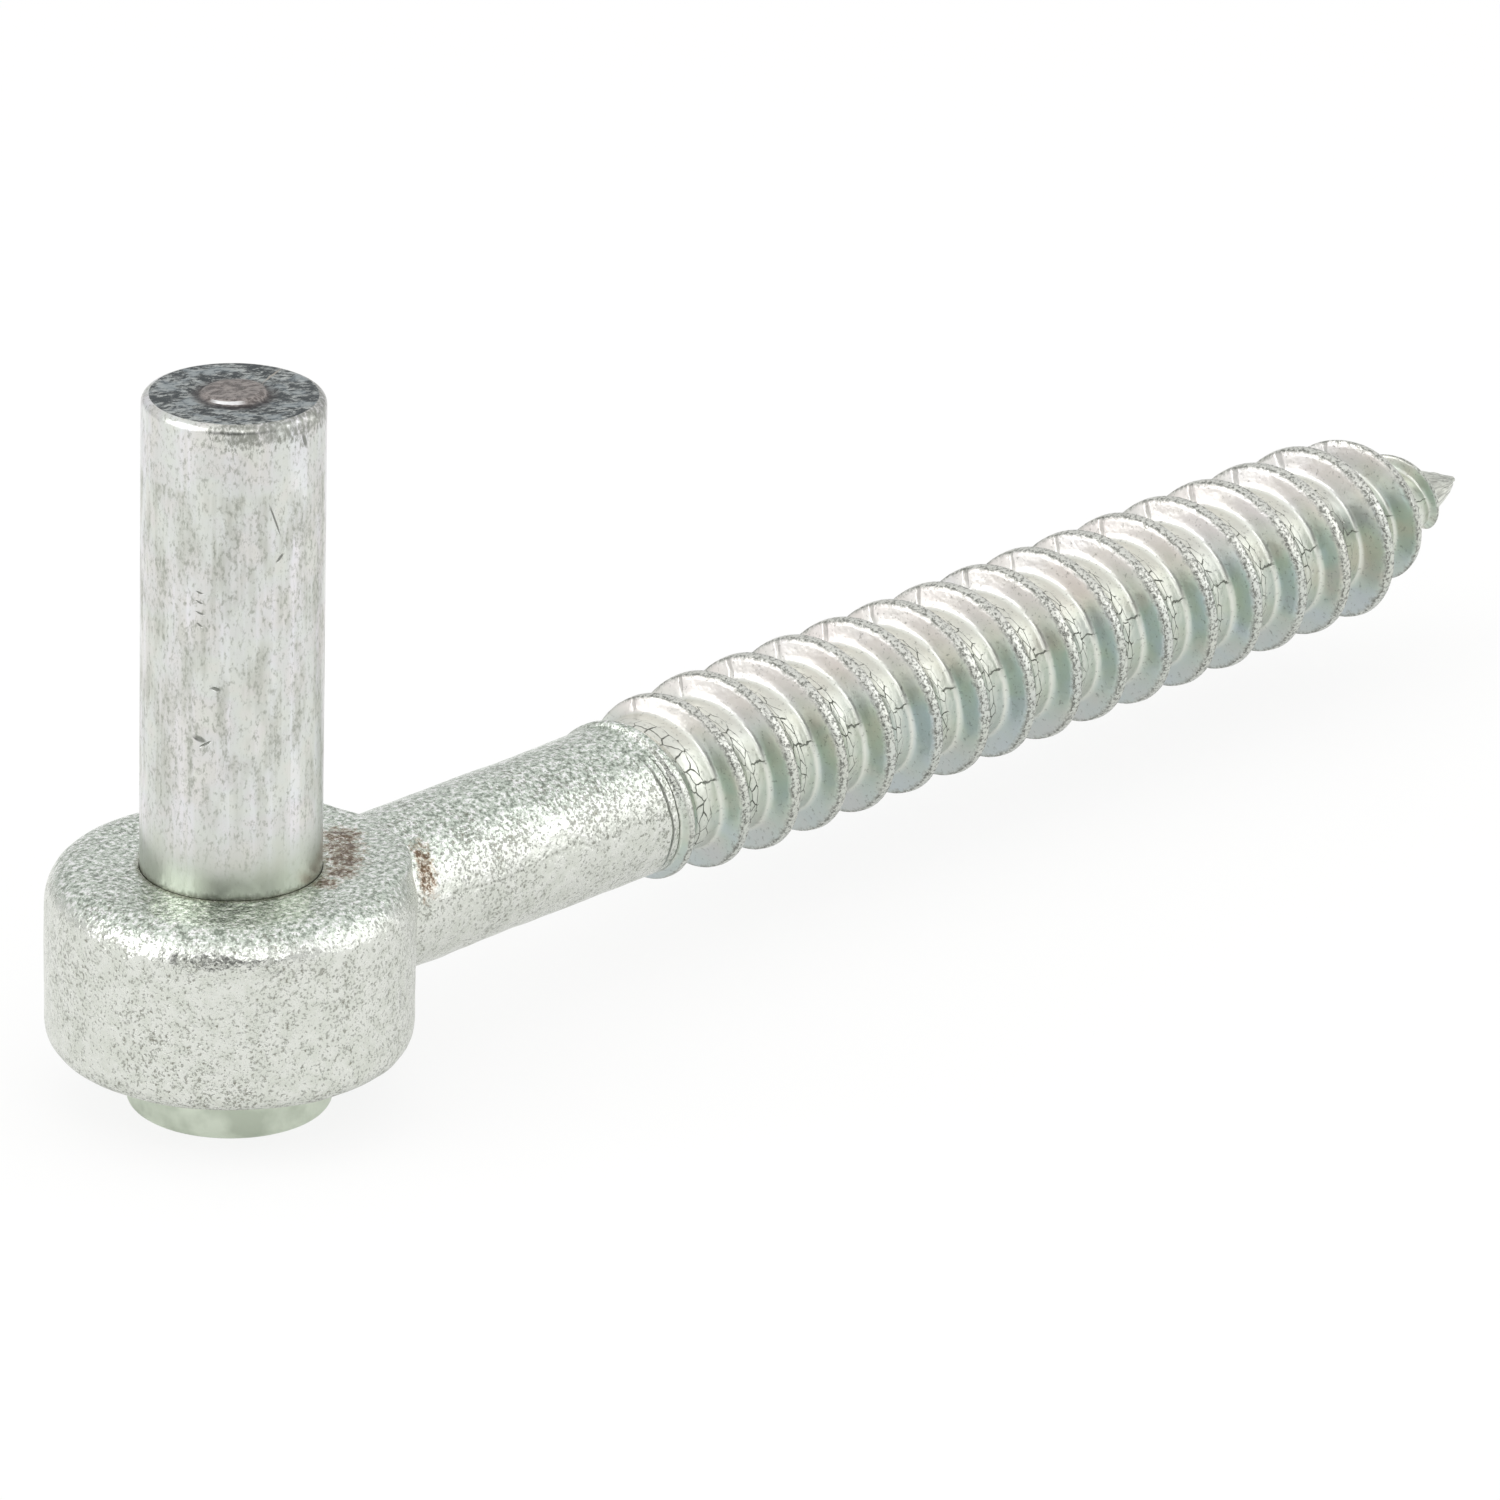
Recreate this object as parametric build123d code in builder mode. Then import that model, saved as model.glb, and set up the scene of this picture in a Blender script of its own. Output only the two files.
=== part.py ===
from build123d import *
import math
import os

os.makedirs("parts", exist_ok=True)

# A gate hook to screw into a timber post: a forged eye on a plain shank with a coarse
# rolled wood thread, and an upright pin through the eye that a gate's strap hinge drops on.
# Origin: where the pin's axis meets the eye's flat top, the seat of the strap. +Z runs up
# the pin, +X runs along the shank to the screw point.

# The upright pin: a drawn bar with a slightly thicker land pressed through the eye, and an
# upset head below it. Its end face keeps the low round pip left where the bar was parted.
pin_d = 16.0
press_d = 16.6
pin_height = 44.0
pin_edge_round = 1.15
pip_d = 6.0
pip_height = 0.42
pip_bevel = 0.3
head_d = 18.2
head_height = 5.45
head_edge_bevel = 0.9

# The forged eye. Metal is gathered on the shank's side, where the top edge is sharper.
eye_wall = 8.0
eye_height = 17.0
eye_top_round = 3.2
eye_bottom_round = 2.4
gather_d = 27.0
gather_reach = 17.0
gather_draft = 1.3

# The plain shank, a little above the eye's middle, and the step down to the thread's root.
shank_d = 14.4
shank_lift = 0.3
shank_joint_round = 1.0
shank_end = 51.2
root_step = 0.8

# The rolled wood thread, right-hand, steep on the side that faces the eye. A crest faces
# +Y where x equals crest_phase.
thread_d = 17.7
root_d = 13.0
pitch = 6.33
crest_width = 0.9
eye_side_flank = 0.55
point_side_flank = 1.9
crest_phase = 53.15
run_in_start = 47.0
run_in_length = 11.0

# The gimlet point: crest and root close on the nose along two power curves. The ridge runs
# out before the nose, which is a plain blunt cone.
nose = 164.7
crest_taper = 17.2
root_taper = 24.5
nose_d = 1.9
nose_bevel = 0.6
ridge_run_out = 3.3
crest_power = 0.876
root_power = 0.6

pin_r = pin_d / 2
press_r = press_d / 2
head_r = head_d / 2
eye_r = press_r + eye_wall
gather_r = gather_d / 2
shank_r = shank_d / 2
shank_drop = eye_height / 2 - shank_lift
gather_top_round = shank_drop - shank_r
root_r = root_d / 2
thread_r = thread_d / 2
thread_depth = thread_r - root_r
crest_taper_start = nose - crest_taper
root_taper_start = nose - root_taper
ridge_end = nose - ridge_run_out
ridge_bury = 0.6
ridge_start_height = 0.45


def rounded_corner(start, corner, end):
    """A smooth round drawn into the current line, from start to end around the corner."""
    pull = 0.55
    first, middle, last = Vector(start), Vector(corner), Vector(end)
    Bezier(first, first + (middle - first) * pull, last + (middle - last) * pull, last)


def root_radius(x):
    """Radius of the thread's root at the length x."""
    if x <= root_taper_start:
        return root_r
    return root_r * ((nose - x) / (nose - root_taper_start)) ** root_power


def crest_radius(x):
    """Radius of the thread's crest at the length x."""
    if x > crest_taper_start:
        return thread_r * ((nose - x) / (nose - crest_taper_start)) ** crest_power
    if x > run_in_start + run_in_length:
        return thread_r
    run_in = (x - run_in_start) / run_in_length
    first = root_r - ridge_bury + ridge_start_height
    return first + (thread_r - first) * math.sin(run_in * math.pi / 2)


def ridge_point(x, side, height):
    """A point on the ridge: side -1 or +1 across it, height 0 at its foot and 1 at its crest."""
    angle = 2 * math.pi * (x - crest_phase) / pitch
    crest = crest_radius(x)
    foot = root_radius(x) - ridge_bury
    flank = eye_side_flank if side < 0 else point_side_flank
    half_crest = crest_width / 2 * crest / thread_r
    half = half_crest + flank * (crest - foot) / thread_depth * (1 - height)
    radius = foot + (crest - foot) * height
    return (x + side * half, radius * math.cos(angle), radius * math.sin(angle) - shank_drop)


def ridge_stretch(x_from, x_to, steps):
    """A stretch of the thread's ridge, its four long faces ruled between helical edges."""
    stations = [x_from + (x_to - x_from) * i / steps for i in range(steps + 1)]
    corners = [(-1, 1), (1, 1), (1, 0), (-1, 0)]
    edges = [Spline(*[ridge_point(x, *corner) for x in stations]) for corner in corners]
    sides = [Face.make_surface_from_curves(a, b) for a, b in zip(edges, edges[1:] + edges[:1])]
    ends = [Face(Wire.make_polygon([edge @ end for edge in edges], close=True)) for end in (0, 1)]
    return Solid(Shell(sides + ends))


# The ridge is made in stretches of two turns, which meet face to face.
stretch = 2 * pitch
full_start = run_in_start + pitch
full_stretches = int((root_taper_start - full_start) / stretch)
cuts = [run_in_start] + [full_start + stretch * i for i in range(full_stretches + 1)]
cuts += [crest_taper_start, crest_taper_start + pitch, ridge_end]
ridges = [
    ridge_stretch(x_from, x_to, max(6, round(7 * (x_to - x_from) / pitch)))
    for x_from, x_to in zip(cuts, cuts[1:])
]

with BuildPart() as eye_screw:
    # The eye, turned about the pin's axis.
    with BuildSketch(Plane.XZ):
        with BuildLine():
            flat_r = eye_r - eye_top_round
            foot_r = eye_r - eye_bottom_round
            side_foot = eye_bottom_round - eye_height
            Polyline((-flat_r, 0), (0, 0), (0, -eye_height), (-foot_r, -eye_height))
            rounded_corner((-foot_r, -eye_height), (-eye_r, -eye_height), (-eye_r, side_foot))
            Line((-eye_r, side_foot), (-eye_r, -eye_top_round))
            rounded_corner((-eye_r, -eye_top_round), (-eye_r, 0), (-flat_r, 0))
        make_face()
    revolve(axis=Axis.Z)
    # The metal gathered on the shank's side, with a draft that dies out downwards.
    gather_x = gather_reach - gather_r
    rim_x = gather_x - gather_r
    rim_side = (rim_x - gather_draft * gather_top_round / side_foot, -gather_top_round)
    with BuildSketch(Plane.XZ):
        with BuildLine():
            Polyline(
                (rim_x + gather_top_round, 0),
                (gather_x, 0),
                (gather_x, side_foot),
                (rim_x + gather_draft, side_foot),
                rim_side,
            )
            rounded_corner(rim_side, (rim_x, 0), (rim_x + gather_top_round, 0))
        make_face()
    revolve(axis=Axis((gather_x, 0, 0), (0, 0, 1)))
    # The plain shank, set just below the seat.
    with BuildSketch(Plane.YZ):
        with Locations((0, -shank_drop)):
            Circle(shank_r)
    extrude(amount=shank_end)
    # The round in the corner between eye and shank.
    joint = [
        edge
        for edge in eye_screw.edges().filter_by_position(Axis.X, eye_r / 2, gather_reach)
        if abs(math.hypot(edge.center().Y, edge.center().Z + shank_drop) - shank_r) < 0.35
    ]
    fillet(joint, shank_joint_round)
    # The root of the thread, stepping down from the shank and closing on the blunt nose.
    with BuildSketch(Plane.XZ):
        with BuildLine():
            Polyline(
                (shank_end, -shank_drop),
                (shank_end, shank_r - shank_drop),
                (shank_end + root_step, root_r - shank_drop),
                (root_taper_start, root_r - shank_drop),
            )
            # Each end of the taper's curve leaves along the power curve's own slope.
            reach = (ridge_end - root_taper_start) / 3
            first = Vector(root_taper_start, root_r - shank_drop)
            last = Vector(ridge_end, root_radius(ridge_end) - shank_drop)
            first_slope = root_power * root_r / root_taper
            last_slope = root_power * root_radius(ridge_end) / ridge_run_out
            Bezier(
                first,
                first + Vector(reach, -reach * first_slope),
                last + Vector(-reach, reach * last_slope),
                last,
            )
            Polyline(
                (ridge_end, root_radius(ridge_end) - shank_drop),
                (nose - nose_bevel, nose_d / 2 - shank_drop),
                (nose, nose_d / 2 - nose_bevel - shank_drop),
                (nose, -shank_drop),
                (shank_end, -shank_drop),
            )
        make_face()
    revolve(axis=Axis((0, 0, -shank_drop), (1, 0, 0)))
    # The thread's ridge, stretch by stretch.
    for ridge in ridges:
        add(ridge)
    # The bore, the size of the pin's land.
    with BuildSketch(Plane.XY):
        Circle(press_r)
    extrude(amount=-eye_height, mode=Mode.SUBTRACT)

with BuildPart() as hinge_pin:
    # The bar above the seat, the land in the bore and the head under the eye, turned.
    with BuildSketch(Plane.XZ):
        with BuildLine():
            end_r = pin_r - pin_edge_round
            edge_foot = pin_height - pin_edge_round
            head_foot = -eye_height - head_height
            rounded_corner((end_r, pin_height), (pin_r, pin_height), (pin_r, edge_foot))
            Polyline(
                (pin_r, edge_foot),
                (pin_r, 0),
                (press_r, 0),
                (press_r, -eye_height),
                (head_r, -eye_height),
                (head_r, head_foot + head_edge_bevel),
                (head_r - head_edge_bevel, head_foot),
                (0, head_foot),
                (0, pin_height + pip_height),
                (pip_d / 2 - pip_bevel, pin_height + pip_height),
                (pip_d / 2, pin_height),
                (end_r, pin_height),
            )
        make_face()
    revolve(axis=Axis.Z)

eye_screw.part.label = "eye_screw"
hinge_pin.part.label = "hinge_pin"
export_step(eye_screw.part, "parts/eye_screw.step")
export_step(hinge_pin.part, "parts/hinge_pin.step")
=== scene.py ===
"""A gate hook that screws into a timber post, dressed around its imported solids.

The hook is two pieces of zinc-plated steel: a forged eye whose shank carries a rolled wood
thread with a gimlet point, and an upright pin pressed through the eye.
"""

import logging
import math
from collections.abc import Mapping
from dataclasses import dataclass, field
from enum import Enum
from typing import Any

import bmesh
import bpy
from mathutils import Matrix, Vector, noise


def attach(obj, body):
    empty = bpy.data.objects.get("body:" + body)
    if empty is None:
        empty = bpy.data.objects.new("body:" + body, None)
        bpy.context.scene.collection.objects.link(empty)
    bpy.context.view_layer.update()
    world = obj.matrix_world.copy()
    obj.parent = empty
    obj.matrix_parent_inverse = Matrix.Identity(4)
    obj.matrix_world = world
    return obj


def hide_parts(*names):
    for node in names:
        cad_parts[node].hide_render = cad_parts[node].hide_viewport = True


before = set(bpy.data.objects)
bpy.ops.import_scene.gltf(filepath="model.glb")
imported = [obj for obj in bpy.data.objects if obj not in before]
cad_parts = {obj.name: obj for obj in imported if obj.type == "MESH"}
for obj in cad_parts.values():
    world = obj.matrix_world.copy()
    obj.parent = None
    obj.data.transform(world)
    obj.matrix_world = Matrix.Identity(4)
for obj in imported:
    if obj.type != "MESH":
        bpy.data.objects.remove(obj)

LOG = logging.getLogger("gate_hook")
MM = 0.001
TAU = 2 * math.pi
# Faces that meet at more than this angle, in radians, meet in a crisp edge.
CRISP = 0.75
# Points whose heights differ by less than LEVEL, in mm, are level, and points nearer to each
# other than WELD, in mm, are merged.
LEVEL = 1e-4
WELD = 0.001

Socket = bpy.types.NodeSocket


class Slot(Enum):
    """The record's material slots."""

    FORGED = "forged_zinc"
    DRAWN = "drawn_zinc"


class Node(Enum):
    """The frame's nodes that the dressed pieces stand for."""

    EYE_SCREW = "eye_screw"
    HINGE_PIN = "hinge_pin"


def linear(code: str) -> tuple[float, float, float, float]:
    """Turn an sRGB hex colour into the linear colour that a shader takes.

    Args:
        code: Six hex digits after a hash.

    Returns:
        Red, green, blue and a full alpha.
    """
    parts = [int(code[i : i + 2], 16) / 255 for i in (1, 3, 5)]
    red, green, blue = (c / 12.92 if c <= 0.04045 else ((c + 0.055) / 1.055) ** 2.4 for c in parts)
    return red, green, blue, 1.0


def smooth_step(value: float, start: float, end: float) -> float:
    """Ease from 0 at start to 1 at end.

    Args:
        value: Where the step is read.
        start: Where it leaves 0.
        end: Where it reaches 1.

    Returns:
        The eased share.
    """
    share = min(max((value - start) / (end - start), 0.0), 1.0)
    return share * share * (3 - 2 * share)


def add_node(
    tree: bpy.types.NodeTree,
    kind: str,
    inputs: Mapping[str | int, Any] | None = None,
    out: str | int = 0,
    **settings: Any,
) -> Socket | None:
    """Add a shader node with its settings, its values and its links.

    Args:
        tree: The tree that gets the node.
        kind: The node's type name after ShaderNode.
        inputs: For each input's name or number, a value, or the output to link it to.
        out: The name or number of the output that is handed on.
        **settings: The node's own properties.

    Returns:
        That output, or nothing for a node that only takes inputs.
    """
    made = tree.nodes.new("ShaderNode" + kind)
    for name, value in settings.items():
        setattr(made, name, value)
    for name, value in (inputs or {}).items():
        socket = made.inputs[name]
        if isinstance(value, Socket):
            tree.links.new(value, socket)
        else:
            socket.default_value = value
    return made.outputs[out] if made.outputs else None


class Finish:
    """A metal finish under construction: its material, its tree and what the tree reads."""

    def __init__(self, name: str) -> None:
        """Make an empty material.

        Args:
            name: The finish's common name.
        """
        self.made = bpy.data.materials.new(name)
        self.made.use_nodes = True
        self.tree = self.made.node_tree
        self.tree.nodes.clear()
        metres = self.add("TexCoord", out="Object")
        self.mm = self.add("VectorMath", {0: metres, "Scale": 1 / MM}, operation="SCALE")

    def add(
        self,
        kind: str,
        inputs: Mapping[str | int, Any] | None = None,
        out: str | int = 0,
        **settings: Any,
    ) -> Socket:
        """Add a node to this finish's tree; see add_node."""
        return add_node(self.tree, kind, inputs, out, **settings)

    def layered(
        self,
        below: Socket | str,
        above: Socket | str,
        share: Socket,
        strength: float = 1.0,
        span: tuple[float, float] | None = None,
    ) -> Socket:
        """Lay one colour over another.

        Args:
            below: The colour that is there, a pattern or an sRGB hex code.
            above: The colour laid over it, likewise.
            share: Where it is laid, from 0 to 1, or any pattern that has a span.
            strength: How much of it covers where the share is 1.
            span: The pattern's values where nothing and where all of it is laid.

        Returns:
            The mixed colour.
        """
        below, above = (linear(c) if isinstance(c, str) else c for c in (below, above))
        if span:
            share = self.add("MapRange", {"Value": share, "From Min": span[0], "From Max": span[1]})
        covered = self.add("Math", {0: share, 1: strength}, operation="MULTIPLY", use_clamp=True)
        return self.add("Mix", {0: covered, 6: below, 7: above}, 2, data_type="RGBA")

    def summed(self, *terms: tuple[Socket, float], base: Socket | float = 0.0) -> Socket:
        """Add up patterns.

        Args:
            *terms: Each pattern and its weight.
            base: What they are added to.

        Returns:
            The sum.
        """
        for pattern, weight in terms:
            base = self.add("Math", {0: pattern, 1: weight, 2: base}, operation="MULTIPLY_ADD")
        return base

    def overlap(self, first: Socket, *others: Socket | float) -> Socket:
        """Multiply shares, so that a place counts only where all of them do.

        Args:
            first: A share.
            *others: The shares laid over it.

        Returns:
            Their product.
        """
        for other in others:
            first = self.add("Math", {0: first, 1: other}, operation="MULTIPLY")
        return first

    def close(
        self,
        colour: Socket,
        roughness: Socket | float,
        height: Socket,
    ) -> bpy.types.Material:
        """Close the tree with a metal shader.

        Args:
            colour: The base colour.
            roughness: The roughness, one value or a pattern.
            height: The surface's height in millimetres.

        Returns:
            The material.
        """
        bump = self.add("Bump", {"Height": height, "Strength": 1.0, "Distance": MM})
        shader = self.add(
            "BsdfPrincipled",
            {"Base Color": colour, "Roughness": roughness, "Metallic": 1.0, "Normal": bump},
        )
        self.add("OutputMaterial", {"Surface": shader})
        return self.made


@dataclass(frozen=True)
class Stain:
    """A blot of rust: the middle and the reach of the wet patch it grew from."""

    centre: tuple[float, float, float]
    reach: float


@dataclass(frozen=True)
class ForgedAndRolledZinc:
    """Bright zinc plate over a blasted forging and a rolled thread.

    The blasted steel gives a fine glittering sheen with small grey pits and a sea-green top,
    whose white glints are painted highlights.
    The rolling dies left the flanks smooth, with the pale tints of a passivated plate, split
    the skin of the root into short cracks and tore the crests to a coarse grain. Painted shade
    and painted highlights lie on the flanks and the root.
    """

    name: str = "zinc_plated_forged_steel"
    plate: str = "#dddfd9"
    plate_shade: str = "#d4d7cf"
    seat: str = "#ced7cc"
    seat_painted_glint: str = "#ffffff"
    seat_pit: str = "#7e877d"
    pit: str = "#8a8c82"
    pit_deep: str = "#6e6a5c"
    rust_pale: str = "#a8937c"
    rust_dark: str = "#55412f"
    joint_dirt: str = "#8b8b78"
    crack: str = "#53564e"
    root: str = "#e4e6dd"
    crest: str = "#d6d8d1"
    crest_grain: str = "#5f615a"
    flank_top_blush_and_painted_highlight: str = "#efe9e7"
    flank_foot: str = "#c2c8cb"
    parting: str = "#83857c"
    nose_dirt: str = "#8b8c85"
    # Sizes in mm of the blasting's grain, the painted glints and the dark grains on top, the pits,
    # the dimples under them, the rust's blots and the plate's clouds. The first three are drawn a
    # little coarser than real blasting, so that they show.
    grain: float = 0.36
    glint_size: float = 0.5
    pit_size: float = 0.32
    dimple: float = 1.3
    blot: float = 0.6
    cloud: float = 6.0
    # Sizes in mm, on the thread, of ragged edges, specks, the crests' torn grain, the bends
    # of the cracks, the stretches where they gape and the bends of the traces.
    fray: float = 0.8
    speck: float = 0.4
    tear: float = 0.3
    crack_bend: float = 0.9
    crack_gape: float = 2.4
    trace_bend: float = 2.5
    # Length and width in mm of the cells that the root's skin is split into.
    crack_cell: tuple[float, float] = (1.6, 0.62)
    # Heights in mm of dimples and grain, on the blasted skin and on the rolled one, and how
    # deep the pits, the marks on the thread and the traces before it lie.
    blasted_relief: tuple[float, float] = (0.26, 0.055)
    rolled_relief: tuple[float, float] = (0.07, 0.01)
    pit_depth: float = 0.05
    mark_depth: float = 0.09
    trace_depth: float = 0.08
    # The roughness of the blasted and of the rolled skin, and what a mark adds to it.
    roughness: tuple[float, float] = (0.22, 0.32)
    mark_roughness: float = 0.2
    bore_radius: float = 8.0
    shank_drop: float = 8.2
    # The height of the eye's foot, towards which the pits crowd, and of the dies' parting line,
    # and where along the shank the line comes out of the eye.
    foot_level: float = -16.6
    parting_level: float = -6.9
    parting_from: tuple[float, float] = (17.5, 20.0)
    seat_stains: tuple[Stain, ...] = (
        Stain((11.5, -2.0, 0.0), 3.2),
        Stain((9.6, -4.1, 0.0), 3.4),
        Stain((7.9, -6.1, 0.0), 3.2),
        Stain((5.8, -7.7, 0.0), 2.8),
        Stain((3.1, -8.6, 0.0), 2.2),
    )
    pitch: float = 6.33
    # One turn along the root, and the angles where the two rolling dies' seams cross it.
    root_circle: float = TAU * 6.5
    root_seam: float = 159 / 360
    flank_seam: float = 65 / 360
    # Where the traces before the first crest begin and end, along the root's helix.
    trace: tuple[float, float] = (-27.5, -14.5)
    # Where along the shank the nose's mottled skin sets in.
    nose_from: tuple[float, float] = (156.0, 160.0)

    def material(self) -> bpy.types.Material:
        """Build the material."""
        f = Finish(self.name)
        rolled = f.add("Attribute", out="Fac", attribute_name="rolled")
        grain = f.add(
            "TexNoise", {"Vector": f.mm, "Scale": 1 / self.grain, "Detail": 2.0, "Roughness": 0.6}
        )
        dimple = f.add("TexNoise", {"Vector": f.mm, "Scale": 1 / self.dimple, "Detail": 2.0})
        cloud = f.add("TexNoise", {"Vector": f.mm, "Scale": 1 / self.cloud, "Detail": 3.0})
        blasted, pits = self.blasted_colour(f, dimple, cloud)
        thread, marks = self.rolled_colour(f, cloud)
        traces = self.traced(f)
        colour = f.layered(self.rusted(f, blasted), thread, rolled)
        colour = f.layered(colour, self.crack, traces, 0.8)
        dimpled, grained = self.blasted_relief
        rough_skin = f.summed((dimple, dimpled), (grain, grained), (pits, -self.pit_depth))
        dimpled, grained = self.rolled_relief
        smooth_skin = f.summed((dimple, dimpled), (grain, grained), (marks, -self.mark_depth))
        height = f.add("Mix", {0: rolled, 2: rough_skin, 3: smooth_skin}, data_type="FLOAT")
        height = f.summed((traces, -self.trace_depth), base=height)
        blank, worked = self.roughness
        roughness = f.add("MapRange", {"Value": rolled, "To Min": blank, "To Max": worked})
        roughness = f.summed((marks, self.mark_roughness), base=roughness)
        return f.close(colour, roughness, height)

    def blasted_colour(self, f: Finish, dimple: Socket, cloud: Socket) -> tuple[Socket, Socket]:
        """Colour the blasted skin.

        Args:
            f: The finish.
            dimple: The dimples under the blasting's grain.
            cloud: The plate's clouds.

        Returns:
            The colour, and where the pits are.
        """
        # The dimples' hollows get a darker plate: a painted shade.
        colour = f.layered(self.plate, self.plate_shade, dimple, 1.0, (0.6, 0.4))
        # What faces up has a duller, sea-green plate, full of dark grains and of white ones that
        # are painted highlights.
        facing = f.add("SeparateXYZ", {0: f.add("TexCoord", out="Normal")}, "Z")
        on_top = f.add(
            "MapRange",
            {"Value": facing, "From Min": 0.35, "From Max": 0.9},
            interpolation_type="SMOOTHSTEP",
        )
        coarse = f.add(
            "TexNoise",
            {"Vector": f.mm, "Scale": 1 / self.glint_size, "Detail": 2.0, "Roughness": 0.7},
        )
        top = f.layered(self.seat, self.seat_painted_glint, coarse, 0.9, (0.53, 0.6))
        top = f.layered(top, self.seat_pit, coarse, 0.8, (0.47, 0.38))
        colour = f.layered(colour, top, on_top)
        # Small round pits, thicker on the ground in some clouds than in others.
        pitted = f.add(
            "TexNoise",
            {"Vector": f.mm, "Scale": 1 / self.pit_size, "Detail": 2.0, "Roughness": 0.65},
        )
        crowd = f.summed((cloud, 0.3), (dimple, -0.12), base=pitted)
        # The pits crowd thicker towards the eye's foot, so that it is darker towards the bottom.
        level = f.add("SeparateXYZ", {0: f.mm}, "Z")
        foot = f.add(
            "MapRange",
            {
                "Value": level,
                "From Min": self.foot_level + 2.0,
                "From Max": self.foot_level,
                "To Max": 0.08,
            },
        )
        crowd = f.add("Math", {0: crowd, 1: foot}, operation="ADD")
        pits = f.add("MapRange", {"Value": crowd, "From Min": 0.65, "From Max": 0.74})
        colour = f.layered(colour, self.pit, pits, 0.55)
        colour = f.layered(colour, self.pit_deep, crowd, 0.7, (0.77, 0.83))
        # The forging dies' parting line, faint and broken, runs along the shank.
        line = f.summed((dimple, 1.3), (cloud, 1.6), base=level)
        line = f.add("Math", {0: line, 1: self.parting_level + 1.45}, operation="SUBTRACT")
        line = f.add("Math", {0: line}, operation="ABSOLUTE")
        line = f.add("MapRange", {"Value": line, "From Min": 0.24, "From Max": 0.06})
        beyond = f.add("SeparateXYZ", {0: f.mm}, "X")
        start, end = self.parting_from
        beyond = f.add("MapRange", {"Value": beyond, "From Min": start, "From Max": end})
        broken = f.add("MapRange", {"Value": pitted, "From Min": 0.38, "From Max": 0.6})
        colour = f.layered(colour, self.parting, f.overlap(line, beyond, broken), 0.6)
        return colour, pits

    def rusted(self, f: Finish, colour: Socket) -> Socket:
        """Stain the seat beside the pin and the corner against the shank.

        Args:
            f: The finish.
            colour: The skin's colour.

        Returns:
            The stained colour.
        """
        blots = f.add(
            "TexNoise",
            {"Vector": f.mm, "Scale": 1 / self.blot, "Detail": 4.0, "Roughness": 0.78},
        )
        wet = f.add("Attribute", out="Fac", attribute_name="corner")
        for stain in self.seat_stains:
            away = f.add("VectorMath", {0: f.mm, 1: stain.centre}, "Value", operation="DISTANCE")
            near = f.add(
                "MapRange", {"Value": away, "From Min": stain.reach, "From Max": stain.reach * 0.3}
            )
            wet = f.add("Math", {0: wet, 1: near}, operation="MAXIMUM")
        level = f.summed((wet, 0.36), base=blots)
        gate = f.add("Math", {0: wet, 1: 3.0}, operation="MULTIPLY", use_clamp=True)
        pale = f.add("MapRange", {"Value": level, "From Min": 0.66, "From Max": 0.88})
        colour = f.layered(colour, self.rust_pale, f.overlap(pale, gate), 0.8)
        colour = f.layered(colour, self.rust_dark, level, 0.85, (0.79, 0.9))
        # Dull dirt lies in the joint round the pin.
        flat = f.add("VectorMath", {0: f.mm, 1: (1, 1, 0)}, operation="MULTIPLY")
        radius = f.add("VectorMath", {0: flat}, "Value", operation="LENGTH")
        radius = f.summed((blots, -0.9), base=radius)
        joint = (self.bore_radius + 0.2, self.bore_radius - 0.4)
        return f.layered(colour, self.joint_dirt, radius, 0.7, joint)

    def rolled_colour(self, f: Finish, cloud: Socket) -> tuple[Socket, Socket]:
        """Colour the rolled thread, with its tints, its cracked root and its torn crest.

        Args:
            f: The finish.
            cloud: The plate's clouds.

        Returns:
            The colour, and where the dark marks are.
        """
        helix = f.add("UVMap", uv_map="helix")
        across = f.add("SeparateXYZ", {0: helix}, "Y")
        # From one crest's middle to the next: its far flank, the root, the next near flank.
        strip = f.add("Math", {0: across, 1: self.pitch, 2: 0.0}, operation="WRAP")
        before = f.add("Math", {0: across, 1: 0.0}, operation="LESS_THAN")
        along = f.add("SeparateXYZ", {0: helix}, "X")
        along = f.summed((before, -self.root_circle), base=along)
        laid = f.add("CombineXYZ", {0: along, 1: strip, 2: 0.0})
        ragged = f.add("TexNoise", {"Vector": laid, "Scale": 1 / self.fray, "Detail": 3.0})
        frayed = f.summed((ragged, 0.9), base=strip)
        # The tints run from yellow over green to blue-green, dark enough to paint shade on the
        # flanks' middles; high on the flanks is a pink blush with a painted highlight, and low on
        # them a paler blue-lilac.
        hue = f.add(
            "MapRange",
            {"Value": cloud, "From Min": 0.34, "From Max": 0.66, "To Min": 0.13, "To Max": 0.52},
        )
        colour = f.add("CombineColor", {0: hue, 1: 0.13, 2: 0.63}, mode="HSV")
        level = f.add("SeparateXYZ", {0: f.mm}, "Z")
        for above, start, end, strength in (
            (self.flank_top_blush_and_painted_highlight, 2.5, 7.0, 0.8),
            (self.flank_foot, -2.0, -6.0, 0.7),
        ):
            span = (start - self.shank_drop, end - self.shank_drop)
            colour = f.layered(colour, above, level, strength, span)
        # The root's smooth rolled skin is pale, and is painted lighter than the flanks as a painted
        # highlight.
        in_root = f.add("MapRange", {"Value": strip, "From Min": 2.0, "From Max": 2.3})
        out_root = f.add("MapRange", {"Value": strip, "From Min": 5.3, "From Max": 5.0})
        colour = f.layered(colour, self.root, f.overlap(in_root, out_root), 0.85)
        specks = f.add(
            "TexNoise", {"Vector": f.mm, "Scale": 1 / self.speck, "Detail": 2.0, "Roughness": 0.65}
        )
        colour = f.layered(colour, self.crest_grain, specks, 0.45, (0.6, 0.72))
        cracks = self.cracked(f, laid, frayed)
        seams = self.seamed(f, along, strip, ragged)
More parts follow.
